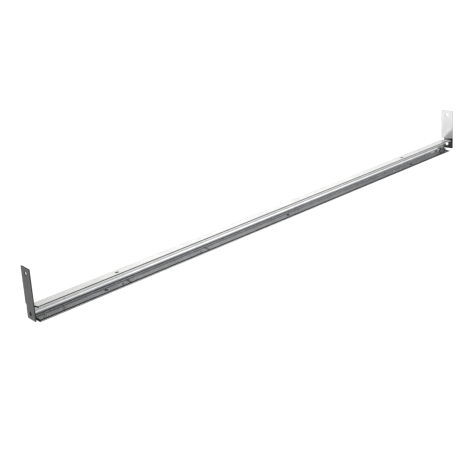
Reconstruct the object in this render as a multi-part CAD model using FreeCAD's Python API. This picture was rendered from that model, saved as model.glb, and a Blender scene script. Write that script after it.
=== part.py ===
import FreeCAD, Part
import math
import os

V = FreeCAD.Vector

# ---------------------------------------------------------------------------
# Two-member telescoping drawer slide, shown closed.
# The cabinet member is an outer C channel with small captive lips and one
# end tab folded from its web. The drawer member is an inner C channel that
# telescopes out of it along +X and carries the other end tab.
# All lengths in millimetres. +X is the way the drawer member pulls out,
# -Y is the open side of both channels, +Z is up.
# ---------------------------------------------------------------------------

# overall
RAIL_L = 610.0          # between the two tab bends, closed
TAB_H = 46.0            # tab height
TAB_W = 14.4            # tab width, back of web to front edge
TAB_SPLAY = 9.5         # degrees each tab is opened past square
TAB_HOLE_R = 1.8        # screw clearance hole in the tabs
TAB_HOLE_IN = 5.2       # hole centre from the tab's top and bottom edges
FAR_TAB_FOOT = 0.8      # the far tab's lower edge sits this far above the near one's
TAB_HOLE_Y = 7.2        # hole centre from the tab's back edge
TAB_CORNER_R = 0.8
BEND_R = 0.7            # inside radius of the tab bends
END_CUT = 3.0           # flanges stop this far from the near tab
END_CUT_FAR = 2.0       # and this far from the far tab

# cabinet (outer) channel
T_OUT = 1.0             # sheet thickness
DEPTH = 14.1            # front of lips to back of web
WEB_BOT = -0.65         # height of the web's lower outer corner above tab foot
WEB_TOP = 10.85         # height of the web's upper outer corner
SPLAY_TOP = 5.0         # degrees the top flange rises towards the front
SPLAY_BOT = 7.0         # degrees the bottom flange falls towards the front
LIP_H = 1.6             # captive lip, outer height
R_FLANGE = 0.9          # inside bend radius web to flange
R_LIP = 0.2             # inside bend radius flange to lip

# drawer (inner) channel
T_IN = 0.8
SLIP = 0.25             # clearance between the nested flanges
WEB_GAP = 1.4           # space between the two webs, for the glides
TAIL_GAP = 3.8          # inner channel's tail starts this far from the near tab
TIP_GAP = 0.3           # inner flange tip to lip
R_IN = 0.6              # inside radius of the inner channel's top bend
R_COVE = 4.2            # inside radius of its wide bottom bend
FAR_FLANGE_CUT = 6.6    # its bottom flange stops this far from the far tab

# glides, stop and bumper in the space between the webs
GLIDE_L = 37.0
GLIDE_T = 1.2
GLIDE_Z0, GLIDE_Z1 = 1.15, 8.95
REAR_GLIDE_X = 8.1
FRONT_GLIDE_X = 566.0
STOP_X = 478.0
STOP_L = 9.0
BUMPER_X, BUMPER_L = 3.4, 4.6
RIVET_R = 1.5
RIVET_HEAD_R = 2.3
RIVET_Z = 6.6

# screw holes, as fractions of the length
FLANGE_HOLES = (0.1266, 0.5222, 0.8737)
FLANGE_HOLE_R = 1.8
FLANGE_HOLE_Y = -9.6
ACCESS_HOLE_R = 2.5
TOP_HOLES = (0.151, 0.8488)
TOP_HOLE_R = 1.9
TOP_HOLE_Y = -8.2
BEADS = (0.1697, 0.3303, 0.795, 0.839)
BEAD_H, BEAD_W = 0.35, 2.2


def unit(a):
    n = math.hypot(a[0], a[1])
    return (a[0] / n, a[1] / n)


def strip_wire(pts, t, radii, place):
    """Closed wire of a bent strip. pts is its centreline, radii the centreline
    bend radius at each inner vertex, place maps (a, b) to a 3D point."""
    segs = []                       # straight stretches: (start, end, direction)
    bends = []
    n = len(pts)
    start = pts[0]
    for i in range(1, n):
        d = unit((pts[i][0] - pts[i - 1][0], pts[i][1] - pts[i - 1][1]))
        if i < n - 1:
            d2 = unit((pts[i + 1][0] - pts[i][0], pts[i + 1][1] - pts[i][1]))
            cr = d[0] * d2[1] - d[1] * d2[0]
            turn = math.atan2(cr, d[0] * d2[0] + d[1] * d2[1])
            tl = radii[i - 1] * math.tan(abs(turn) / 2)
            end = (pts[i][0] - d[0] * tl, pts[i][1] - d[1] * tl)
            segs.append((start, end, d))
            nxt = (pts[i][0] + d2[0] * tl, pts[i][1] + d2[1] * tl)
            s = 1 if turn > 0 else -1
            c = (end[0] - d[1] * s * radii[i - 1], end[1] + d[0] * s * radii[i - 1])
            bends.append((c, radii[i - 1], s, end, nxt))
            start = nxt
        else:
            segs.append((start, pts[i], d))
    def side(k):
        out = []
        for i, (a, b, d) in enumerate(segs):
            nx, ny = -d[1] * k * t / 2, d[0] * k * t / 2
            out.append(("L", (a[0] + nx, a[1] + ny), (b[0] + nx, b[1] + ny)))
            if i < len(bends):
                c, r, s, e, f = bends[i]
                rr = r - s * k * t / 2
                ue = unit((e[0] - c[0], e[1] - c[1]))
                uf = unit((f[0] - c[0], f[1] - c[1]))
                um = unit((ue[0] + uf[0], ue[1] + uf[1]))
                out.append(("A", (c[0] + ue[0] * rr, c[1] + ue[1] * rr),
                            (c[0] + um[0] * rr, c[1] + um[1] * rr),
                            (c[0] + uf[0] * rr, c[1] + uf[1] * rr)))
        return out
    left, right = side(1), side(-1)
    edges = []
    for e in left:
        if e[0] == "L":
            edges.append(Part.LineSegment(place(*e[1]), place(*e[2])).toShape())
        else:
            edges.append(Part.Arc(place(*e[1]), place(*e[2]), place(*e[3])).toShape())
    edges.append(Part.LineSegment(place(*left[-1][-1]), place(*right[-1][-1])).toShape())
    for e in reversed(right):
        if e[0] == "L":
            edges.append(Part.LineSegment(place(*e[2]), place(*e[1])).toShape())
        else:
            edges.append(Part.Arc(place(*e[3]), place(*e[2]), place(*e[1])).toShape())
    edges.append(Part.LineSegment(place(*right[0][1]), place(*left[0][1])).toShape())
    return Part.Wire(edges)


def offset_poly(pts, dist):
    """Parallel polyline at dist to the left of the path, mitred."""
    out = []
    n = len(pts)
    dirs = [unit((pts[i + 1][0] - pts[i][0], pts[i + 1][1] - pts[i][1])) for i in range(n - 1)]
    for i in range(n):
        if i == 0 or i == n - 1:
            d = dirs[0] if i == 0 else dirs[-1]
            out.append((pts[i][0] - d[1] * dist, pts[i][1] + d[0] * dist))
        else:
            a, b = dirs[i - 1], dirs[i]
            na, nb = (-a[1], a[0]), (-b[1], b[0])
            k = dist / (1 + na[0] * nb[0] + na[1] * nb[1])
            out.append((pts[i][0] + (na[0] + nb[0]) * k, pts[i][1] + (na[1] + nb[1]) * k))
    return out


def box(x0, x1, y0, y1, z0, z1):
    return Part.makeBox(x1 - x0, y1 - y0, z1 - z0, V(x0, y0, z0))


tan_t = math.tan(math.radians(SPLAY_TOP))
tan_b = math.tan(math.radians(SPLAY_BOT))
cos_t = math.cos(math.radians(SPLAY_TOP))
cos_b = math.cos(math.radians(SPLAY_BOT))
sin_t = math.sin(math.radians(SPLAY_TOP))
sin_b = math.sin(math.radians(SPLAY_BOT))

# outer surface of the cabinet channel in (y, z), bottom lip tip round to top lip tip
P1 = (-DEPTH, WEB_BOT - DEPTH * tan_b)
P4 = (-DEPTH, WEB_TOP + DEPTH * tan_t)
P0 = (P1[0], P1[1] + LIP_H)
P5 = (P4[0], P4[1] - LIP_H)
outer_path = [P0, P1, (0, WEB_BOT), (0, WEB_TOP), P4, P5]
outer_mid = offset_poly(outer_path, T_OUT / 2)


def in_yz(x):
    return lambda a, b: V(x, a, b)


def prism_x(wire, length):
    return Part.Face(wire).extrude(V(length, 0, 0))


OUT_X0 = END_CUT
OUT_X1 = RAIL_L - END_CUT_FAR - 0.4
cab = prism_x(strip_wire(outer_mid, T_OUT,
                         [R_LIP + T_OUT / 2, R_FLANGE + T_OUT / 2, R_FLANGE + T_OUT / 2, R_LIP + T_OUT / 2],
                         in_yz(OUT_X0)), OUT_X1 - OUT_X0)

# drawer channel: its outer surface sits SLIP inside the cabinet channel's flanges
web_back = -(T_OUT + WEB_GAP)                       # back face of the inner web
tip_y = -(DEPTH - T_OUT - TIP_GAP)


def bot_line(y):                                   # underside of the inner bottom flange
    return WEB_BOT + y * tan_b + (T_OUT + SLIP) / cos_b


def top_line(y):
    return WEB_TOP - y * tan_t - (T_OUT + SLIP) / cos_t


inner_path = [(tip_y, bot_line(tip_y)), (web_back, bot_line(web_back)),
              (web_back, top_line(web_back)), (tip_y, top_line(tip_y))]
inner_mid = offset_poly(inner_path, T_IN / 2)
IN_X0 = TAIL_GAP
IN_X1 = RAIL_L - END_CUT_FAR
drw = prism_x(strip_wire(inner_mid, T_IN, [R_COVE + T_IN / 2, R_IN + T_IN / 2], in_yz(IN_X0)), IN_X1 - IN_X0)


# ---- end tabs ---------------------------------------------------------------
def tab(t, back, web_z0, web_z1, web_from, mirror, foot=0.0):
    """Tab folded from a web whose back face is at y = back.
    Built for the low-x end, then mirrored for the high-x end."""
    s = math.radians(TAB_SPLAY)
    d = (-math.sin(s), -math.cos(s))
    n_out = (-math.cos(s), math.sin(s))             # outward side of the tab
    # centreline: along the web to the corner, then down the tab
    # tab's outer face passes through (0, 0) at the back plane
    off = (-n_out[0] * t / 2, -n_out[1] * t / 2)
    yc = back - t / 2
    k = (yc - off[1]) / d[1]
    corner = (off[0] + d[0] * k, yc)
    front_k = (TAB_W + off[1]) / -d[1]
    tip = (off[0] + d[0] * front_k, off[1] + d[1] * front_k)
    rc = BEND_R + t / 2
    lower = Part.Face(strip_wire([(web_from, yc), corner, tip], t, [rc],
                                 lambda a, b: V(a, b, web_z0))).extrude(V(0, 0, web_z1 - web_z0))
    # flat strip, full height, from where the bend ends to the front edge
    turn = math.pi / 2 + s
    tl = rc * math.tan(turn / 2) if turn < math.pi else 0
    b0 = (corner[0] + d[0] * (tl + 0.3), corner[1] + d[1] * (tl + 0.3))
    def plate(a, b, z0, z1):
        nx, ny = n_out[0] * t / 2, n_out[1] * t / 2
        w = Part.makePolygon([V(a[0] + nx, a[1] + ny, z0), V(b[0] + nx, b[1] + ny, z0),
                              V(b[0] - nx, b[1] - ny, z0), V(a[0] - nx, a[1] - ny, z0),
                              V(a[0] + nx, a[1] + ny, z0)])
        return Part.Face(w).extrude(V(0, 0, z1 - z0))
    full = plate(b0, tip, foot, TAB_H)
    top_back_k = (off[1] + 0.09) / -d[1]
    tb = (off[0] + d[0] * top_back_k, off[1] + d[1] * top_back_k)
    upper = plate(tb, tip, WEB_TOP + 1.6, TAB_H)
    shape = lower.fuse([full, upper]).removeSplitter()
    # round the free corners
    edges = []
    for e in shape.Edges:
        if len(e.Vertexes) != 2 or abs(e.Length - t) > 0.05:
            continue
        m = e.valueAt((e.FirstParameter + e.LastParameter) / 2)
        near_top = abs(m.z - TAB_H) < 0.01
        near_bot_front = abs(m.z - foot) < 0.01 and m.y < -TAB_W + 1.2
        if (near_top or near_bot_front):
            edges.append(e)
    shape = shape.makeFillet(TAB_CORNER_R, edges)
    # screw holes, square to the tab
    for z in (foot + TAB_HOLE_IN, TAB_H - TAB_HOLE_IN):
        c = (d[0] * TAB_HOLE_Y, d[1] * TAB_HOLE_Y)
        base = V(c[0] + n_out[0] * 3, c[1] + n_out[1] * 3, z)
        shape = shape.cut(Part.makeCylinder(TAB_HOLE_R, 8, base, V(-n_out[0], -n_out[1], 0)))
    if mirror:
        shape = shape.mirror(V(RAIL_L / 2, 0, 0), V(1, 0, 0))
    return shape


cab = cab.fuse(tab(T_OUT, 0.0, 0.0, WEB_TOP - T_OUT - R_FLANGE - 0.1,
                   END_CUT + 0.02, False)).removeSplitter()
cab = cab.fuse(box(END_CUT - 0.2, END_CUT + 1.0, -T_OUT, 0.0, WEB_BOT + T_OUT + R_FLANGE + 0.1,
                   WEB_TOP - T_OUT - R_FLANGE - 0.1)).removeSplitter()
iz0 = bot_line(web_back) + T_IN + R_COVE + 0.1
iz1 = top_line(web_back) - T_IN - R_IN - 0.1
drw = drw.fuse(tab(T_IN, web_back, FAR_TAB_FOOT, iz1, END_CUT_FAR + 0.02, True, FAR_TAB_FOOT)).removeSplitter()
drw = drw.fuse(box(IN_X1 - 1.0, IN_X1 + 0.2, web_back - T_IN, web_back, iz0, iz1)).removeSplitter()
# the bottom flange is cut back beside the far tab, clear of its fold
drw = drw.cut(box(RAIL_L - FAR_FLANGE_CUT, RAIL_L - 1.0, tip_y - 1.0, web_back - T_IN - R_COVE - 0.1, -4.0, 2.2)).removeSplitter()

# ---- screw holes in the bottom flange of the drawer channel ------------------
yh = FLANGE_HOLE_Y
zs = bot_line(yh)
ax_b = V(0, sin_b, -cos_b)                            # out of the flange, downwards
for f in FLANGE_HOLES:
    c = V(RAIL_L * f, yh, zs)
    up = c - ax_b * 4
    drw = drw.cut(Part.makeCylinder(FLANGE_HOLE_R, 5.0, up, ax_b))
    # access hole below it in the cabinet channel, in line when the slide is closed
    cab = cab.cut(Part.makeCylinder(ACCESS_HOLE_R, 4.0, c + ax_b * 0.1, ax_b))

# ---- round holes through the top flange of the cabinet channel, bored upright ----
for f in TOP_HOLES:
    cab = cab.cut(Part.makeCylinder(TOP_HOLE_R, 4.0, V(RAIL_L * f, TOP_HOLE_Y, WEB_TOP - 1.0)))

# ---- pressed cross beads on the inside of the drawer channel ------------------
for f in BEADS:
    x = RAIL_L * f
    y0, y1 = tip_y + 1.0, web_back - T_IN - R_COVE - 0.3
    def bead(p, q, nrm):
        w = Part.makePolygon([V(x - BEAD_W / 2, p[0], p[1]), V(x, p[0] + nrm[0] * BEAD_H, p[1] + nrm[1] * BEAD_H),
                              V(x + BEAD_W / 2, p[0], p[1]),
                              V(x + BEAD_W / 2, p[0] - nrm[0] * 0.2, p[1] - nrm[1] * 0.2),
                              V(x - BEAD_W / 2, p[0] - nrm[0] * 0.2, p[1] - nrm[1] * 0.2),
                              V(x - BEAD_W / 2, p[0], p[1])])
        return Part.Face(w).extrude(V(0, q[0] - p[0], q[1] - p[1]))
    nb = (-sin_b, cos_b)
    top_of = lambda y: bot_line(y) + T_IN / cos_b
    drw = drw.fuse(bead((y0, top_of(y0)), (y1, top_of(y1)), nb))
    zf = web_back - T_IN
    drw = drw.fuse(bead((zf, iz0 + 0.3), (zf, iz1 - 0.3), (-1, 0)))
drw = drw.removeSplitter()


# ---- riveted acetal glides, stop and bumper -----------------------------------
def rivet_xs(x, l):
    return (x + 8.0, x + l - 8.0)


def block(x, l, y_back, ch=0.5):
    """Pad between the webs, back face at y_back, with eased long ends."""
    b = box(x, x + l, y_back - GLIDE_T, y_back, GLIDE_Z0, GLIDE_Z1)
    es = [e for e in b.Edges if abs(e.tangentAt(0).z) > 0.9]
    return b.makeChamfer(ch, es)


AX_Y = V(0, -1, 0)
# cabinet side: pad against the outer web, rivet flush with the web's back
fg_y = -T_OUT
front_glide = block(FRONT_GLIDE_X, GLIDE_L, fg_y)
fr = []
for x in rivet_xs(FRONT_GLIDE_X, GLIDE_L):
    shank = Part.makeCylinder(RIVET_R, T_OUT + 0.4, V(x, 0, RIVET_Z - 1.5), AX_Y)
    head = Part.makeCone(RIVET_R + 0.1, RIVET_HEAD_R, 0.6, V(x, -T_OUT - 0.4, RIVET_Z - 1.5), AX_Y)
    r = shank.fuse(head).removeSplitter()
    fr.append(r)
    cab = cab.cut(Part.makeCylinder(RIVET_R, 2.0, V(x, 0.5, RIVET_Z - 1.5), AX_Y))
    front_glide = front_glide.cut(r)
    front_glide = front_glide.cut(Part.makeCylinder(RIVET_HEAD_R, 2.0, V(x, -T_OUT - 1.0, RIVET_Z - 1.5), AX_Y))
front_glide_rivets = Part.makeCompound(fr)

# drawer side: pad against the back of the inner web
rg_y = web_back + GLIDE_T
rear_glide = block(REAR_GLIDE_X, GLIDE_L, rg_y)
rr = []
for x in rivet_xs(REAR_GLIDE_X, GLIDE_L):
    shank = Part.makeCylinder(RIVET_R, T_IN + 0.4, V(x, web_back + 0.4, RIVET_Z), AX_Y)
    back_head = Part.makeCone(RIVET_HEAD_R, RIVET_R + 0.1, 0.6, V(x, web_back + 1.0, RIVET_Z), AX_Y)
    dome = Part.makeCylinder(RIVET_HEAD_R - 0.3, 0.5, V(x, web_back - T_IN, RIVET_Z), AX_Y)
    dome = dome.makeChamfer(0.25, [e for e in dome.Edges if abs(e.BoundBox.YMax - (web_back - T_IN - 0.5)) < 0.01
                                   and e.BoundBox.YLength < 0.01])
    r = shank.fuse([back_head, dome]).removeSplitter()
    rr.append(r)
    drw = drw.cut(Part.makeCylinder(RIVET_R, T_IN + 0.4, V(x, web_back + 0.2, RIVET_Z), AX_Y))
    rear_glide = rear_glide.cut(r)
    rear_glide = rear_glide.cut(Part.makeCylinder(RIVET_HEAD_R, 1.0, V(x, web_back + 2.0, RIVET_Z), AX_Y))
rear_glide_rivets = Part.makeCompound(rr)

# travel stop: steel lug on the outer web that the rear glide meets when pulled out
travel_stop = block(STOP_X, STOP_L, -T_OUT, 0.3)
xs = STOP_X + STOP_L / 2
sr = Part.makeCylinder(RIVET_R, T_OUT + 0.4, V(xs, 0, 5.05), AX_Y).fuse(
    Part.makeCone(RIVET_R + 0.1, RIVET_HEAD_R, 0.6, V(xs, -T_OUT - 0.4, 5.05), AX_Y)).removeSplitter()
cab = cab.cut(Part.makeCylinder(RIVET_R, 2.0, V(xs, 0.5, 5.05), AX_Y))
travel_stop = travel_stop.cut(sr)
travel_stop = travel_stop.cut(Part.makeCylinder(RIVET_HEAD_R, 2.0, V(xs, -T_OUT - 1.0, 5.05), AX_Y))

# closing bumper: rubber block with a stem pressed through the outer web
bx = BUMPER_X + BUMPER_L / 2
closing_bumper = box(BUMPER_X, BUMPER_X + BUMPER_L, -T_OUT - GLIDE_T, -T_OUT, GLIDE_Z0 + 0.6, GLIDE_Z1 - 0.6)
closing_bumper = closing_bumper.makeFillet(0.5, [e for e in closing_bumper.Edges if abs(e.tangentAt(0).z) > 0.9
                                                 and e.BoundBox.YMin < -T_OUT - 0.8])
stem = Part.makeCylinder(1.2, T_OUT, V(bx, 0, 5.0), AX_Y)
closing_bumper = closing_bumper.fuse(stem).removeSplitter()
cab = cab.cut(Part.makeCylinder(1.2, 2.0, V(bx, 0.5, 5.0), AX_Y))

nodes = {
    "cabinet_channel": cab,
    "drawer_channel": drw,
    "front_glide": front_glide,
    "front_glide_rivets": front_glide_rivets,
    "rear_glide": rear_glide,
    "rear_glide_rivets": rear_glide_rivets,
    "travel_stop": travel_stop,
    "travel_stop_rivet": sr,
    "closing_bumper": closing_bumper,
}

# move the whole slide so that its origin is the centre of the box's underside
bb = FreeCAD.BoundBox()
for s in nodes.values():
    bb.add(s.optimalBoundingBox(False) if hasattr(s, "optimalBoundingBox") else s.BoundBox)
shift = V(-(bb.XMin + bb.XMax) / 2, -(bb.YMin + bb.YMax) / 2, -bb.ZMin)
os.makedirs("parts", exist_ok=True)
for name, s in nodes.items():
    s = s.copy()
    s.translate(shift)
    print(name, "valid", s.isValid(), "solids", len(s.Solids), "vol %.1f" % s.Volume,
          "box %.2f %.2f %.2f / %.2f %.2f %.2f" % (s.BoundBox.XMin, s.BoundBox.YMin, s.BoundBox.ZMin,
                                                 s.BoundBox.XMax, s.BoundBox.YMax, s.BoundBox.ZMax))
    s.exportStep("parts/%s.step" % name)
print("shift", shift, "size", bb.XLength, bb.YLength, bb.ZLength)
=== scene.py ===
import bpy
import bmesh
import math
from mathutils import Matrix, Vector


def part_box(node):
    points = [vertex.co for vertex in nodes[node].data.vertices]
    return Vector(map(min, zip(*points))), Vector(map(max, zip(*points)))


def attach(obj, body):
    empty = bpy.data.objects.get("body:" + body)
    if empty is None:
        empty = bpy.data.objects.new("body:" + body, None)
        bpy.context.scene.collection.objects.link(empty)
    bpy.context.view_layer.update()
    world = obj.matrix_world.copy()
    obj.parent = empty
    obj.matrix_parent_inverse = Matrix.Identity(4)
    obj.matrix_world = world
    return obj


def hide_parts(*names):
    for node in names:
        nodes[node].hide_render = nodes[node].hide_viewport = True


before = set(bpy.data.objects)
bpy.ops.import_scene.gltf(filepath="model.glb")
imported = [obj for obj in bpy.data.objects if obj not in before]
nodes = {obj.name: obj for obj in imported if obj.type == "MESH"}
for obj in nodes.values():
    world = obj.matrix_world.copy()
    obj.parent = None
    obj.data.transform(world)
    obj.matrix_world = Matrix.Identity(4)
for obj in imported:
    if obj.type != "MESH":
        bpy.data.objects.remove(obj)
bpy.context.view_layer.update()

scene = bpy.context.scene
MM = 0.001

# ---------------------------------------------------------------------------
# sizes, in millimetres, as the CAD has them
# ---------------------------------------------------------------------------
RAIL_L, TAB_H, TAB_W, TAB_SPLAY = 610.0, 46.0, 14.4, math.radians(9.5)
TAB_HOLE_R, TAB_HOLE_IN, TAB_HOLE_Y, TAB_CORNER_R, BEND_R, FAR_TAB_FOOT = 1.8, 5.2, 7.2, 0.8, 0.7, 0.8
END_CUT, END_CUT_FAR = 3.0, 2.0
T_OUT, DEPTH, WEB_BOT, WEB_TOP = 1.0, 14.1, -0.65, 10.85
SPLAY_TOP, SPLAY_BOT = math.radians(5.0), math.radians(7.0)
LIP_H, R_FLANGE, R_LIP = 1.6, 0.9, 0.2
T_IN, SLIP, WEB_GAP, TAIL_GAP, TIP_GAP, R_IN, R_COVE, FAR_FLANGE_CUT = 0.8, 0.25, 1.4, 3.8, 0.3, 0.6, 4.2, 6.6
FLANGE_HOLES, FLANGE_HOLE_R, FLANGE_HOLE_Y, ACCESS_HOLE_R = (0.1266, 0.5222, 0.8737), 1.8, -9.6, 2.5
TOP_HOLES, TOP_HOLE_R, TOP_HOLE_Y = (0.151, 0.8488), 1.9, -8.2
BEADS, BEAD_H, BEAD_W = (0.1697, 0.3303, 0.795, 0.839), 0.35, 2.2
RIVET_R, RIVET_HEAD_R, RIVET_Z = 1.5, 2.3, 6.6

# the slide's own corner in the row frame, from the CAD boxes
_c_lo, _c_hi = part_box("cabinet_channel")
_d_lo, _d_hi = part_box("drawer_channel")
SHIFT = Vector(((_c_lo.x + _d_hi.x) / 2 / MM - RAIL_L / 2, _c_hi.y / MM, _c_hi.z / MM - TAB_H))


def to_row(x, y, z):
    return Vector(((x + SHIFT.x) * MM, (y + SHIFT.y) * MM, (z + SHIFT.z) * MM))


# ---------------------------------------------------------------------------
# small mesh helpers
# ---------------------------------------------------------------------------
def unit(a):
    n = math.hypot(a[0], a[1])
    return (a[0] / n, a[1] / n)


def offset_poly(pts, dist):
    out, n = [], len(pts)
    dirs = [unit((pts[i + 1][0] - pts[i][0], pts[i + 1][1] - pts[i][1])) for i in range(n - 1)]
    for i in range(n):
        if i in (0, n - 1):
            d = dirs[0] if i == 0 else dirs[-1]
            out.append((pts[i][0] - d[1] * dist, pts[i][1] + d[0] * dist))
        else:
            a, b = dirs[i - 1], dirs[i]
            na, nb = (-a[1], a[0]), (-b[1], b[0])
            k = dist / (1 + na[0] * nb[0] + na[1] * nb[1])
            out.append((pts[i][0] + (na[0] + nb[0]) * k, pts[i][1] + (na[1] + nb[1]) * k))
    return out


def sample_path(pts, radii, flat_step, arc_n):
    """Points along a path with rounded corners: [(a, b, segment index or -1 in a bend)]."""
    out = []
    start, n = pts[0], len(pts)
    for i in range(1, n):
        d = unit((pts[i][0] - pts[i - 1][0], pts[i][1] - pts[i - 1][1]))
        bend = None
        if i < n - 1:
            d2 = unit((pts[i + 1][0] - pts[i][0], pts[i + 1][1] - pts[i][1]))
            turn = math.atan2(d[0] * d2[1] - d[1] * d2[0], d[0] * d2[0] + d[1] * d2[1])
            tl = radii[i - 1] * math.tan(abs(turn) / 2)
            end = (pts[i][0] - d[0] * tl, pts[i][1] - d[1] * tl)
            nxt = (pts[i][0] + d2[0] * tl, pts[i][1] + d2[1] * tl)
            s = 1 if turn > 0 else -1
            c = (end[0] - d[1] * s * radii[i - 1], end[1] + d[0] * s * radii[i - 1])
            a0 = math.atan2(end[1] - c[1], end[0] - c[0])
            bend = (c, radii[i - 1], a0, turn)
        else:
            end = pts[i]
        length = math.hypot(end[0] - start[0], end[1] - start[1])
        m = max(1, round(length / flat_step))
        for k in range(m + 1):
            t = k / m
            out.append((start[0] + (end[0] - start[0]) * t, start[1] + (end[1] - start[1]) * t, i - 1))
        if bend:
            c, r, a0, turn = bend
            q = arc_n if r < 2.0 else 2 * arc_n
            for k in range(1, q):
                a = a0 + turn * k / q
                out.append((c[0] + r * math.cos(a), c[1] + r * math.sin(a), -1))
            start = nxt
    return out


def new_object(name, mesh):
    o = bpy.data.objects.new(name, mesh)
    scene.collection.objects.link(o)
    return o


def apply_modifiers(o):
    """The object's evaluated mesh becomes its own mesh, and its modifiers go."""
    dg = bpy.context.evaluated_depsgraph_get()
    dg.update()
    m = bpy.data.meshes.new_from_object(o.evaluated_get(dg), preserve_all_data_layers=True, depsgraph=dg)
    old = o.data
    o.modifiers.clear()
    o.data = m
    m.name = o.name
    if old.users == 0:
        bpy.data.meshes.remove(old)


def cutter(kind, centre, axis, r, depth, length=0.0, r2=None, seg=40):
    """A closed cutting solid in the row frame: a cylinder or cone, or a slot along X."""
    bm = bmesh.new()
    if kind == "round":
        bmesh.ops.create_cone(bm, cap_ends=True, segments=seg, radius1=r * MM, radius2=(r if r2 is None else r2) * MM,
                              depth=depth * MM)
    else:
        h = length / 2 - r
        ring = []
        for k in range(seg // 2 + 1):
            a = -math.pi / 2 + math.pi * k / (seg // 2)
            ring.append((h + r * math.cos(a), r * math.sin(a)))
        for k in range(seg // 2 + 1):
            a = math.pi / 2 + math.pi * k / (seg // 2)
            ring.append((-h + r * math.cos(a), r * math.sin(a)))
        low = [bm.verts.new((p[0] * MM, p[1] * MM, -depth * MM / 2)) for p in ring]
        top = [bm.verts.new((p[0] * MM, p[1] * MM, depth * MM / 2)) for p in ring]
        bm.faces.new(list(reversed(low)))
        bm.faces.new(top)
        for i in range(len(ring)):
            j = (i + 1) % len(ring)
            bm.faces.new((low[i], low[j], top[j], top[i]))
    bmesh.ops.recalc_face_normals(bm, faces=bm.faces)
    me = bpy.data.meshes.new("cut")
    bm.to_mesh(me)
    bm.free()
    rot = Vector(axis).to_track_quat("Z", "Y").to_matrix().to_4x4()
    if kind != "round":                       # keep the slot's length along X
        z = Vector(axis).normalized()
        x = Vector((1, 0, 0))
        y = z.cross(x)
        rot = Matrix((x, y, z)).transposed().to_4x4()
    me.transform(Matrix.Translation(centre) @ rot)
    return me


def block_cutter(xs, ys, zs):
    bm = bmesh.new()
    bmesh.ops.create_cube(bm, size=1.0)
    for v in bm.verts:
        v.co = to_row(xs[v.co.x > 0], ys[v.co.y > 0], zs[v.co.z > 0])
    me = bpy.data.meshes.new("cut")
    bm.to_mesh(me)
    bm.free()
    return me


def cut(o, meshes, rim_slot=None):
    """Cuts the closed solids out of o. They are joined first, so they must not overlap each other."""
    bm = bmesh.new()
    for me in meshes:
        bm.from_mesh(me)
        bpy.data.meshes.remove(me)
    me = bpy.data.meshes.new("cutters")
    bm.to_mesh(me)
    bm.free()
    tool = new_object("cutters", me)
    # hole walls take the edge material, whose near-black colour is partly painted shade
    if rim_slot is not None:
        for m in o.data.materials:
            me.materials.append(m)
        for p in me.polygons:
            p.material_index = rim_slot
    mod = o.modifiers.new("cut", "BOOLEAN")
    mod.operation = "DIFFERENCE"
    mod.solver = "EXACT"
    mod.object = tool
    apply_modifiers(o)
    bpy.data.objects.remove(tool)
    bpy.data.meshes.remove(me)


def soften(o, width, segments=2, angle=40.0, normals=True):
    """Small rounded edges, then flat faces shaded flat."""
    b = o.modifiers.new("soften", "BEVEL")
    b.width = width * MM
    b.segments = segments
    b.limit_method = "ANGLE"
    b.angle_limit = math.radians(angle)
    b.use_clamp_overlap = True
    b.material = -1
    b.harden_normals = False
    apply_modifiers(o)
    for p in o.data.polygons:
        p.use_smooth = True
    if normals:
        w = o.modifiers.new("normals", "WEIGHTED_NORMAL")
        w.mode = "FACE_AREA"
        w.weight = 60
        w.keep_sharp = True
        apply_modifiers(o)


# ---------------------------------------------------------------------------
# materials
# ---------------------------------------------------------------------------
class Tree:
    def __init__(self, name):
        self.m = bpy.data.materials.new(name)
        self.m.use_nodes = True
        self.t = self.m.node_tree
        self.t.nodes.clear()
        self.out = self.t.nodes.new("ShaderNodeOutputMaterial")
        self.p = self.t.nodes.new("ShaderNodeBsdfPrincipled")
        self.t.links.new(self.p.outputs[0], self.out.inputs["Surface"])
        self.co = self.t.nodes.new("ShaderNodeTexCoord").outputs["Object"]

    def n(self, kind, **props):
        x = self.t.nodes.new(kind)
        for k, v in props.items():
            setattr(x, k, v)
        return x

    def link(self, a, b):
        self.t.links.new(a, b)

    def map(self, scale=(1, 1, 1), rot=(0, 0, 0), loc=(0, 0, 0)):
        x = self.n("ShaderNodeMapping")
        x.inputs["Scale"].default_value = scale
        x.inputs["Rotation"].default_value = rot
        x.inputs["Location"].default_value = loc
        self.link(self.co, x.inputs["Vector"])
        return x.outputs[0]

    def noise(self, vec, scale, detail=4.0, rough=0.55, distortion=0.0):
        x = self.n("ShaderNodeTexNoise")
        x.inputs["Scale"].default_value = scale
        x.inputs["Detail"].default_value = detail
        x.inputs["Roughness"].default_value = rough
        x.inputs["Distortion"].default_value = distortion
        self.link(vec, x.inputs["Vector"])
        return x.outputs["Fac"]

    def remap(self, v, a, b, c, d, smooth=False):
        x = self.n("ShaderNodeMapRange")
        if smooth:
            x.interpolation_type = "SMOOTHSTEP"
        for k, val in zip(("From Min", "From Max", "To Min", "To Max"), (a, b, c, d)):
            x.inputs[k].default_value = val
        self.link(v, x.inputs["Value"])
        return x.outputs["Result"]

    def math(self, op, a, b=None):
        x = self.n("ShaderNodeMath", operation=op)
        for i, v in enumerate((a, b)):
            if v is None:
                continue
            if isinstance(v, (int, float)):
                x.inputs[i].default_value = v
            else:
                self.link(v, x.inputs[i])
        return x.outputs[0]

    def mix(self, fac, a, b):
        x = self.n("ShaderNodeMix", data_type="RGBA")
        for sock, v in ((x.inputs["Factor"], fac), (x.inputs[6], a), (x.inputs[7], b)):
            if isinstance(v, (int, float)):
                sock.default_value = v
            elif isinstance(v, (tuple, list)):
                sock.default_value = (*v, 1.0) if len(v) == 3 else v
            else:
                self.link(v, sock)
        return x.outputs[2]

    def bump(self, height, strength, dist, after=None):
        x = self.n("ShaderNodeBump")
        x.inputs["Strength"].default_value = strength
        x.inputs["Distance"].default_value = dist
        self.link(height, x.inputs["Height"])
        if after is not None:
            self.link(after, x.inputs["Normal"])
        return x.outputs[0]


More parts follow.
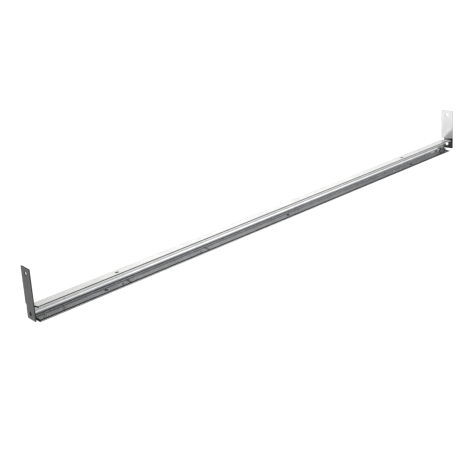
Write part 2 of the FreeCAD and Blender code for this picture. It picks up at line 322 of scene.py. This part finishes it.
def galvanised(name, light, dark, rough=(0.09, 0.15), seed=0.0):
    """Bright zinc-coated strip: rolling lines along X, soft spangle, a few long scuffs."""
    m = Tree(name)
    base = m.map(loc=(seed, seed * 0.7, seed * 0.3))
    lines = m.noise(m.map(scale=(3, 900, 900), loc=(seed, 0, 0)), 1.0, 3.0, 0.6)
    fine = m.noise(m.map(scale=(25, 3200, 3200), loc=(seed, 0, 0)), 1.0, 2.0, 0.6)
    cell = m.n("ShaderNodeTexVoronoi", feature="SMOOTH_F1")
    cell.inputs["Scale"].default_value = 130.0
    cell.inputs["Smoothness"].default_value = 0.35
    warp = m.noise(base, 60.0, 3.0)
    wv = m.n("ShaderNodeVectorMath", operation="MULTIPLY_ADD")
    comb = m.n("ShaderNodeCombineXYZ")
    for i in range(3):
        m.link(warp, comb.inputs[i])
    m.link(comb.outputs[0], wv.inputs[0])
    wv.inputs[1].default_value = (0.006, 0.006, 0.006)
    m.link(base, wv.inputs[2])
    m.link(wv.outputs[0], cell.inputs["Vector"])
    cval = m.n("ShaderNodeSeparateColor")
    m.link(cell.outputs["Color"], cval.inputs[0])
    spangle = cval.outputs[0]
    cloud = m.noise(base, 14.0, 4.0, 0.5, 0.4)
    scuff = m.noise(m.map(scale=(12, 260, 260), rot=(0, 0, 0.05), loc=(seed + 3, 1, 0)), 1.0, 5.0, 0.7, 0.3)
    scuff_m = m.remap(scuff, 0.62, 0.74, 0.0, 1.0, True)
    tone = m.math("ADD", m.math("MULTIPLY", spangle, 0.35), m.math("MULTIPLY", cloud, 0.65))
    col = m.mix(m.remap(tone, 0.25, 0.75, 0.0, 1.0), dark, light)
    col = m.mix(m.math("MULTIPLY", m.remap(lines, 0.42, 0.7, 0.0, 1.0), 0.22), col, tuple(c * 0.82 for c in dark))
    col = m.mix(m.math("MULTIPLY", scuff_m, 0.25), col, tuple(min(1.0, c * 1.12) for c in light))
    m.link(col, m.p.inputs["Base Color"])
    m.p.inputs["Metallic"].default_value = 1.0
    r = m.math("ADD", m.remap(tone, 0.2, 0.8, rough[1], rough[0]), m.math("MULTIPLY", m.math("SUBTRACT", fine, 0.5), 0.06))
    r = m.math("ADD", r, m.math("MULTIPLY", scuff_m, 0.08))
    m.link(r, m.p.inputs["Roughness"])
    m.p.inputs["Anisotropic"].default_value = 0.0
    b1 = m.bump(lines, 0.05, 0.00004)
    b2 = m.bump(spangle, 0.03, 0.00005, b1)
    b3 = m.bump(m.noise(base, 9.0, 2.0, 0.4), 0.06, 0.0012, b2)
    m.link(b3, m.p.inputs["Normal"])
    return m.m


def sheared(name, colour, dark):
    """Cut edge of the sheet: bare darker steel, burnished above and torn below; its near-black colours are partly the
    bare steel and partly painted shade on the thin edges and hole walls.
    """
    m = Tree(name)
    grain = m.noise(m.map(scale=(700, 700, 160)), 1.0, 4.0, 0.6)
    blot = m.noise(m.map(), 90.0, 4.0, 0.6)
    col = m.mix(m.remap(grain, 0.35, 0.65, 0.0, 1.0), dark, colour)
    col = m.mix(m.math("MULTIPLY", m.remap(blot, 0.5, 0.75, 0.0, 1.0), 0.35), col, tuple(c * 0.6 for c in dark))
    m.link(col, m.p.inputs["Base Color"])
    m.p.inputs["Metallic"].default_value = 1.0
    m.link(m.remap(grain, 0.2, 0.8, 0.38, 0.62), m.p.inputs["Roughness"])
    m.link(m.bump(grain, 0.25, 0.00006), m.p.inputs["Normal"])
    return m.m


def acetal(name, colour):
    m = Tree(name)
    flow = m.noise(m.map(scale=(60, 240, 240)), 1.0, 4.0, 0.55, 0.6)
    pore = m.noise(m.map(), 2600.0, 2.0, 0.5)
    wear = m.remap(m.noise(m.map(scale=(20, 800, 500)), 1.0, 4.0, 0.65), 0.52, 0.7, 0.0, 1.0, True)
    col = m.mix(m.remap(flow, 0.3, 0.7, 0.0, 1.0), tuple(c * 0.93 for c in colour), colour)
    col = m.mix(m.math("MULTIPLY", wear, 0.25), col, tuple(c * 0.72 for c in colour))
    m.link(col, m.p.inputs["Base Color"])
    m.link(m.remap(pore, 0.3, 0.7, 0.36, 0.48), m.p.inputs["Roughness"])
    m.p.inputs["IOR"].default_value = 1.48
    m.p.inputs["Subsurface Weight"].default_value = 0.12
    m.p.inputs["Subsurface Scale"].default_value = 0.002
    m.link(m.bump(pore, 0.08, 0.00003), m.p.inputs["Normal"])
    return m.m


def rubber(name):
    m = Tree(name)
    g = m.noise(m.map(), 1500.0, 4.0, 0.6)
    bloom = m.noise(m.map(), 160.0, 4.0, 0.6)
    col = m.mix(m.remap(bloom, 0.4, 0.75, 0.0, 1.0), (0.018, 0.018, 0.019), (0.05, 0.05, 0.052))
    m.link(col, m.p.inputs["Base Color"])
    m.link(m.remap(g, 0.3, 0.7, 0.62, 0.82), m.p.inputs["Roughness"])
    m.link(m.bump(g, 0.3, 0.00005), m.p.inputs["Normal"])
    return m.m


def zinc(name, colour, rough=0.34):
    m = Tree(name)
    g = m.noise(m.map(), 900.0, 4.0, 0.6)
    blot = m.noise(m.map(), 220.0, 3.0, 0.5)
    col = m.mix(m.remap(blot, 0.35, 0.7, 0.0, 1.0), tuple(c * 0.84 for c in colour), colour)
    m.link(col, m.p.inputs["Base Color"])
    m.p.inputs["Metallic"].default_value = 1.0
    m.link(m.remap(g, 0.25, 0.75, rough - 0.07, rough + 0.1), m.p.inputs["Roughness"])
    m.link(m.bump(g, 0.12, 0.00003), m.p.inputs["Normal"])
    return m.m


MAT_OUT = galvanised("galvanised_cabinet", (0.76, 0.76, 0.75), (0.66, 0.66, 0.655), seed=0.0)
MAT_IN = galvanised("galvanised_drawer", (0.76, 0.765, 0.77), (0.65, 0.655, 0.665), seed=2.3)
# cut edges: near black, partly the bare steel of the cut and partly painted shade on the thin rims and hole walls
MAT_BARE_EDGE_AND_SHADE = sheared("sheared_edge_and_painted_shade", (0.16, 0.16, 0.16), (0.1, 0.1, 0.1))
MAT_ZINC = zinc("zinc_rivet", (0.72, 0.72, 0.7))
MAT_LUG = zinc("zinc_lug", (0.6, 0.6, 0.6), 0.4)
MAT_ACETAL = acetal("acetal_natural", (0.82, 0.8, 0.73))
MAT_RUBBER = rubber("rubber_black")


# ---------------------------------------------------------------------------
# the two channels: each one sheet, thickened, pierced and edge-softened
# ---------------------------------------------------------------------------
tan_t, tan_b = math.tan(SPLAY_TOP), math.tan(SPLAY_BOT)
cos_t, cos_b, sin_t, sin_b = math.cos(SPLAY_TOP), math.cos(SPLAY_BOT), math.sin(SPLAY_TOP), math.sin(SPLAY_BOT)
web_back = -(T_OUT + WEB_GAP)
tip_y = -(DEPTH - T_OUT - TIP_GAP)


def bot_line(y):
    return WEB_BOT + y * tan_b + (T_OUT + SLIP) / cos_b


def top_line(y):
    return WEB_TOP - y * tan_t - (T_OUT + SLIP) / cos_t


def smooth(t):
    t = max(0.0, min(1.0, t))
    return t * t * (3 - 2 * t)


def stations(x0, x1, fine, step=9.0, near=1.7, fine_step=0.28):
    xs = {round(x0, 4), round(x1, 4)}
    k = 1
    n = max(1, round((x1 - x0) / step))
    for k in range(1, n):
        x = x0 + (x1 - x0) * k / n
        if all(abs(x - f) > near + 0.5 for f in fine):
            xs.add(round(x, 4))
    for f in fine:
        m = round(2 * near / fine_step)
        for k in range(m + 1):
            xs.add(round(f - near + 2 * near * k / m, 4))
    return sorted(xs)


def sheet_channel(name, path, radii, web_seg, x0, x1, t, back, cut_x, far, beads=(), foot=0.0):
    """Mid-surface of the channel and its tab as one quad mesh, in slide millimetres.
    web_seg is the index of the web's straight stretch in path, cut_x where the web strip
    leaves the channel, far True when the tab is at the high-x end."""
    prof = sample_path(path, radii, 1.15, 6)
    bm = bmesh.new()
    xs = stations(x0, x1, beads)
    web = [j for j, p in enumerate(prof) if p[2] == web_seg]
    # the web's end samples also belong to the bends; keep them in
    grid = {}
    nb = (-sin_b, cos_b)
    flat_lo = min(j for j, p in enumerate(prof) if p[2] == web_seg - 1)
    flat_hi = max(j for j, p in enumerate(prof) if p[2] == web_seg - 1)
    lo_a, lo_b = prof[flat_lo], prof[flat_hi]
    for i, x in enumerate(xs):
        for j, (a, b, s) in enumerate(prof):
            y, z = a, b
            for f in beads:
                u = abs(x - f) / (BEAD_W / 2 + 0.35)
                if u < 1:
                    h = BEAD_H * (0.5 + 0.5 * math.cos(math.pi * u))
                    if s == web_seg - 1 and j >= flat_lo:
                        d = math.hypot(a - lo_a[0], b - lo_a[1])
                        full = math.hypot(lo_b[0] - lo_a[0], lo_b[1] - lo_a[1])
                        w = smooth((d - 0.4) / 1.2) * smooth((full - d) / 1.0)
                        y, z = y + nb[0] * h * w, z + nb[1] * h * w
                    elif s == web_seg:
                        z0, z1 = prof[web[0]][1], prof[web[-1]][1]
                        w = smooth(abs(b - z0) / 1.0) * smooth(abs(z1 - b) / 1.0)
                        y -= h * w
            grid[i, j] = bm.verts.new(to_row(x, y, z))
    for i in range(len(xs) - 1):
        for j in range(len(prof) - 1):
            if (grid[i, j].co - grid[i, j + 1].co).length < 1e-7:
                continue
            bm.faces.new((grid[i, j], grid[i + 1, j], grid[i + 1, j + 1], grid[i, j + 1]))
    # --- tab patch, laid out for the low-x end and mirrored for the high-x end
    sgn = -1 if far else 1
    mx = (lambda x: RAIL_L - x) if far else (lambda x: x)
    end_i = len(xs) - 1 if far else 0
    s = TAB_SPLAY
    d = (-math.sin(s), -math.cos(s))
    n_out = (-math.cos(s), math.sin(s))
    off = (-n_out[0] * t / 2, -n_out[1] * t / 2)
    yc = back - t / 2
    k = (yc - off[1]) / d[1]
    corner = (off[0] + d[0] * k, yc)
    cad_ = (TAB_W + off[1]) / -d[1]
    tip = (off[0] + d[0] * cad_, off[1] + d[1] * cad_)
    rc = BEND_R + t / 2
    plan = sample_path([(cut_x, yc), corner, tip], [rc], 1.6, 7)
    bend_end = max(i for i, p in enumerate(plan) if p[2] == -1) + 1
    web_z = [prof[j][1] for j in web]
    z_lo, z_hi = min(web_z), max(web_z)
    zs_low = [z for z in (foot, (foot + z_lo) / 2) if z < z_lo - 0.05]
    zs_up, z = [], z_hi
    stops = [WEB_TOP + 1.6] + [WEB_TOP + 1.6 + (TAB_H - WEB_TOP - 1.6) * q / 20 for q in range(1, 21)]
    rows = zs_low + sorted(web_z) + stops
    order = {round(z, 4): n for n, z in enumerate(rows)}
    cols = {}
    def vert(ci, ri, x, y, z):
        key = (ci, ri)
        if key not in cols:
            cols[key] = bm.verts.new(to_row(mx(x), y, z))
        return cols[key]
    web_sorted = sorted(web, key=lambda j: prof[j][1])
    n_low = len(zs_low)
    for q, j in enumerate(web_sorted):                     # share the channel's end vertices
        cols[(0, n_low + q)] = grid[end_i, j]
    def quad(ci, ri, x0_, y0_, x1_, y1_, ca=None, cb=None):
        ca = ci if ca is None else ca
        cb = ci + 1 if cb is None else cb
        vs = [vert(ca, ri, x0_, y0_, rows[ri]), vert(cb, ri, x1_, y1_, rows[ri]),
              vert(cb, ri + 1, x1_, y1_, rows[ri + 1]), vert(ca, ri + 1, x0_, y0_, rows[ri + 1])]
        if len(set(vs)) == 4:
            bm.faces.new(vs)
    first_low = 1                                          # below the web strip the fold starts at its bend
    bend_start = min(i for i, p in enumerate(plan) if p[2] == -1) - 1
    last_web = n_low + len(web_z) - 1
    for ci in range(len(plan) - 1):
        (ax, ay, _), (bx, by, _) = plan[ci], plan[ci + 1]
        if math.hypot(ax - bx, ay - by) < 1e-6:
            continue
        for ri in range(len(rows) - 1):
            if ri < n_low and ci < bend_start:
                continue
            if ri >= last_web and ci < bend_end:
                continue
            quad(ci, ri, ax, ay, bx, by)
    # strip above the rail, carried straight back past the bend
    kb = (off[1] + 0.09) / -d[1]
    b0 = (off[0] + d[0] * kb, off[1] + d[1] * kb)
    e0 = plan[bend_end][:2]
    nback = 3
    prev = [(e0[0] + (b0[0] - e0[0]) * q / nback, e0[1] + (b0[1] - e0[1]) * q / nback) for q in range(nback + 1)]
    for q in range(nback):
        for ri in range(last_web + 1, len(rows) - 1):
            quad(None, ri, prev[q][0], prev[q][1], prev[q + 1][0], prev[q + 1][1],
                 bend_end if q == 0 else 1000 + q, 1000 + q + 1)
    bmesh.ops.remove_doubles(bm, verts=bm.verts, dist=2e-7)
    bmesh.ops.recalc_face_normals(bm, faces=bm.faces)
    # normals to the outside of the fold, so thickness sides are known
    bm.normal_update()
    # round the tab's free corners
    tl = to_row(mx(tip[0]), tip[1], 0)
    bk = to_row(mx(b0[0]), b0[1], 0)
    ztop, zbot = to_row(0, 0, TAB_H).z, to_row(0, 0, foot).z
    cv = [v for v in bm.verts if v.is_boundary and (
        ((v.co.xy - tl.xy).length < 2e-5 and (abs(v.co.z - ztop) < 1e-5 or abs(v.co.z - zbot) < 1e-5))
        or ((v.co.xy - bk.xy).length < 2e-5 and abs(v.co.z - ztop) < 1e-5))]
    bmesh.ops.bevel(bm, geom=cv, offset=TAB_CORNER_R * MM, offset_type="OFFSET", segments=5, profile=0.5,
                    affect="VERTICES")
    me = bpy.data.meshes.new(name)
    bm.to_mesh(me)
    bm.free()
    o = new_object(name, me)
    return o


def thicken(o, t, surface, edge):
    o.data.materials.append(surface)
    o.data.materials.append(edge)
    m = o.modifiers.new("sheet", "SOLIDIFY")
    m.thickness = t * MM
    m.offset = 0.0
    m.use_even_offset = True
    m.use_quality_normals = True
    m.use_rim = True
    # the sheet's cut rims take the edge material, whose near-black colour is partly painted shade
    m.material_offset_rim = 1
    apply_modifiers(o)


# cabinet member's channel
P1 = (-DEPTH, WEB_BOT - DEPTH * tan_b)
P4 = (-DEPTH, WEB_TOP + DEPTH * tan_t)
outer_path = [(P1[0], P1[1] + LIP_H), P1, (0, WEB_BOT), (0, WEB_TOP), P4, (P4[0], P4[1] - LIP_H)]
outer_mid = offset_poly(outer_path, T_OUT / 2)
cab = sheet_channel("cabinet_channel_sheet", outer_mid,
                    [R_LIP + T_OUT / 2, R_FLANGE + T_OUT / 2, R_FLANGE + T_OUT / 2, R_LIP + T_OUT / 2],
                    2, END_CUT, RAIL_L - END_CUT_FAR - 0.4, T_OUT, 0.0, END_CUT, False)
thicken(cab, T_OUT, MAT_OUT, MAT_BARE_EDGE_AND_SHADE)

# drawer member's channel
inner_path = [(tip_y, bot_line(tip_y)), (web_back, bot_line(web_back)),
              (web_back, top_line(web_back)), (tip_y, top_line(tip_y))]
inner_mid = offset_poly(inner_path, T_IN / 2)
drw = sheet_channel("drawer_channel_sheet", inner_mid, [R_COVE + T_IN / 2, R_IN + T_IN / 2],
                    1, TAIL_GAP, RAIL_L - END_CUT_FAR, T_IN, web_back, END_CUT_FAR, True,
                    beads=[RAIL_L * f for f in BEADS], foot=FAR_TAB_FOOT)
thicken(drw, T_IN, MAT_IN, MAT_BARE_EDGE_AND_SHADE)

# piercing
s9 = TAB_SPLAY
tab_axis_n = Vector((-math.cos(s9), math.sin(s9), 0))
tab_axis_f = Vector((math.cos(s9), math.sin(s9), 0))
hole_xy = (-math.sin(s9) * TAB_HOLE_Y, -math.cos(s9) * TAB_HOLE_Y)
tools = []
for z in (TAB_HOLE_IN, TAB_H - TAB_HOLE_IN):
    tools.append(cutter("round", to_row(hole_xy[0], hole_xy[1], z), tab_axis_n, TAB_HOLE_R, 6.0))
ax_b = Vector((0, sin_b, -cos_b))
yh = FLANGE_HOLE_Y
for f in FLANGE_HOLES:
    tools.append(cutter("round", to_row(RAIL_L * f, yh, bot_line(yh)) + ax_b * 0.75 * MM, ax_b, ACCESS_HOLE_R, 1.9))
for f in TOP_HOLES:
    tools.append(cutter("round", to_row(RAIL_L * f, TOP_HOLE_Y, WEB_TOP + 0.5), (0, 0, 1), TOP_HOLE_R, 2.6))
def rivet_xs(x0, x1):
    return (x0 + 8.0, x1 - 8.0)
for nm in ("front_glide", "travel_stop"):
    lo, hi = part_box(nm)
    x0, x1 = lo.x / MM - SHIFT.x, hi.x / MM - SHIFT.x
    for x in (rivet_xs(x0, x1) if nm == "front_glide" else ((x0 + x1) / 2,)):
        tools.append(cutter("round", to_row(x, -0.5, 5.1 if nm == "front_glide" else 5.05), (0, 1, 0), RIVET_R + 0.001, 2.4))
lo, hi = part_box("closing_bumper")
tools.append(cutter("round", to_row((lo.x + hi.x) / 2 / MM - SHIFT.x, -0.5, 5.0), (0, 1, 0), 1.2 + 0.001, 2.4))
cut(cab, tools, 1)

tools = []
for z in (FAR_TAB_FOOT + TAB_HOLE_IN, TAB_H - TAB_HOLE_IN):
    tools.append(cutter("round", to_row(RAIL_L - hole_xy[0], hole_xy[1], z), tab_axis_f, TAB_HOLE_R, 6.0))
for f in FLANGE_HOLES:
    tools.append(cutter("round", to_row(RAIL_L * f, yh, bot_line(yh)) - ax_b * 0.4 * MM, ax_b, FLANGE_HOLE_R, 1.3))
lo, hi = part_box("rear_glide")
for x in rivet_xs(lo.x / MM - SHIFT.x, hi.x / MM - SHIFT.x):
    tools.append(cutter("round", to_row(x, web_back - T_IN / 2, RIVET_Z), (0, 1, 0), RIVET_R + 0.001, 2.0))
tools.append(block_cutter((RAIL_L - FAR_FLANGE_CUT, RAIL_L - 1.0), (tip_y - 1.0, web_back - T_IN - R_COVE - 0.1), (-4.0, 2.2)))
cut(drw, tools, 1)

soften(cab, 0.10)
soften(drw, 0.09)
for o, body, node, slot in ((cab, "cabinet_member", "cabinet_channel", "cabinet_steel"),
                            (drw, "drawer_member", "drawer_channel", "drawer_steel")):
    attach(o, body)
    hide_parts(node)

# CAD nodes that keep their shape
for name, mat, w in (("front_glide", MAT_ACETAL, 0.18), ("rear_glide", MAT_ACETAL, 0.18),
                     ("front_glide_rivets", MAT_ZINC, 0.1), ("rear_glide_rivets", MAT_ZINC, 0.1),
                     ("travel_stop", MAT_LUG, 0.12), ("travel_stop_rivet", MAT_ZINC, 0.1),
                     ("closing_bumper", MAT_RUBBER, 0.15)):
    o = nodes[name]
    o.data.materials.clear()
    o.data.materials.append(mat)
    b = o.modifiers.new("soften", "BEVEL")
    b.width = w * MM
    b.segments = 2
    b.limit_method = "ANGLE"
    b.angle_limit = math.radians(40)

# ---------------------------------------------------------------------------
# floor, light, camera
# ---------------------------------------------------------------------------
bm = bmesh.new()
bmesh.ops.create_grid(bm, x_segments=8, y_segments=8, size=6.0)
me = bpy.data.meshes.new("floor")
bm.to_mesh(me)
bm.free()
floor = new_object("floor", me)
floor.location.z = -0.0004
fm = Tree("floor_pale")
fn = fm.noise(fm.map(), 3.0, 3.0, 0.5)
fm.link(fm.mix(fn, (0.93, 0.93, 0.93), (0.95, 0.95, 0.95)), fm.p.inputs["Base Color"])
fm.p.inputs["Roughness"].default_value = 0.9
fm.p.inputs["Emission Color"].default_value = (1, 1, 1, 1)
fm.p.inputs["Emission Strength"].default_value = 0.93
floor.data.materials.append(fm.m)
floor.visible_glossy = False

world = bpy.data.worlds.new("studio")
scene.world = world
world.use_nodes = True
wt = world.node_tree
wt.nodes.clear()
wo = wt.nodes.new("ShaderNodeOutputWorld")
tc = wt.nodes.new("ShaderNodeTexCoord")


def wmath(op, a, b=None, c=None):
    x = wt.nodes.new("ShaderNodeMath")
    x.operation = op
    for i, v in enumerate((a, b, c)):
        if v is None:
            continue
        if isinstance(v, (int, float)):
            x.inputs[i].default_value = v
        else:
            wt.links.new(v, x.inputs[i])
    return x.outputs[0]


# soft round lights: (turn from +X towards +Y, height, half-width, strength), angles in degrees
LIGHTS = [(-57, -23, 9.5, 0.135),
         (-57, -8, 9.5, 0.191),
         (-57, 8, 9.5, 0.292),
         (-57, 23, 9.5, 0.443),
         (-45, -23, 9.5, 1.066),
         (-45, 8, 9.5, 2.018),
         (-45, 23, 9.5, 0.254),
         (-33, 8, 9.5, 0.172),
         (-20, -38, 9.5, 0.442),
         (-20, 23, 9.5, 0.204),
         (-5, -38, 9.5, 2.050),
         (-5, -23, 9.5, 1.461),
         (-5, 23, 9.5, 0.605),
         (-5, 40, 9.5, 0.014),
         (20, 13, 10, 0.290),
         (35, 13, 10, 0.740),
         (50, 13, 10, 1.268),
         (105, -21, 18, 0.230),
         (166, -30, 9.5, 0.320),
         (166, -14, 9.5, 0.760),
         (166, 0, 9.5, 1.780)]
# gentle fill for the sides turned away from the camera
LIGHTS += [(-128, 32, 24, 0.7), (132, 26, 13, 0.7), (100, 55, 22, 0.5), (-96, -20, 12, 0.4),
           (-128, -20, 16, 0.7), (136, -24, 10, 0.8), (45, -22, 14, 0.5)]
rad = None
for turn, height, half, strength in LIGHTS:
    a, h = math.radians(turn), math.radians(height)
    d = wt.nodes.new("ShaderNodeVectorMath")
    d.operation = "DOT_PRODUCT"
    wt.links.new(tc.outputs["Generated"], d.inputs[0])
    d.inputs[1].default_value = (math.cos(a) * math.cos(h), math.sin(a) * math.cos(h), math.sin(h))
    fall = wmath("EXPONENT", wmath("MULTIPLY", wmath("SUBTRACT", d.outputs["Value"], 1.0), 1 / math.radians(half) ** 2))
    rad = wmath("MULTIPLY_ADD", fall, strength, 0.0 if rad is None else rad)
lp = wt.nodes.new("ShaderNodeLightPath")
bg1 = wt.nodes.new("ShaderNodeBackground")
wt.links.new(rad, bg1.inputs["Strength"])
bg2 = wt.nodes.new("ShaderNodeBackground")
bg2.inputs["Color"].default_value = (1, 1, 1, 1)
bg2.inputs["Strength"].default_value = 1.0
mx_ = wt.nodes.new("ShaderNodeMixShader")
wt.links.new(lp.outputs["Is Camera Ray"], mx_.inputs[0])
wt.links.new(bg1.outputs[0], mx_.inputs[1])
wt.links.new(bg2.outputs[0], mx_.inputs[2])
wt.links.new(mx_.outputs[0], wo.inputs["Surface"])

scene.view_settings.view_transform = "Standard"
scene.view_settings.look = "None"

az, el, roll = math.radians(45.606), math.radians(19.444), math.radians(-3.756)
fwd = Vector((math.sin(az) * math.cos(el), math.cos(az) * math.cos(el), -math.sin(el)))
right = Vector((math.cos(az), -math.sin(az), 0))
upv = right.cross(fwd)
r2 = math.cos(roll) * right + math.sin(roll) * upv
u2 = -math.sin(roll) * right + math.cos(roll) * upv
cam_data = bpy.data.cameras.new("camera")
cam = bpy.data.objects.new("camera", cam_data)
scene.collection.objects.link(cam)
m3 = Matrix((r2, u2, -fwd)).transposed()
cam.matrix_world = Matrix.Translation((-0.790143, -0.715789, 0.360718)) @ m3.to_4x4()
cam_data.sensor_width = 36.0
cam_data.lens = 84.856
cam_data.clip_start, cam_data.clip_end = 0.01, 50.0
scene.camera = cam
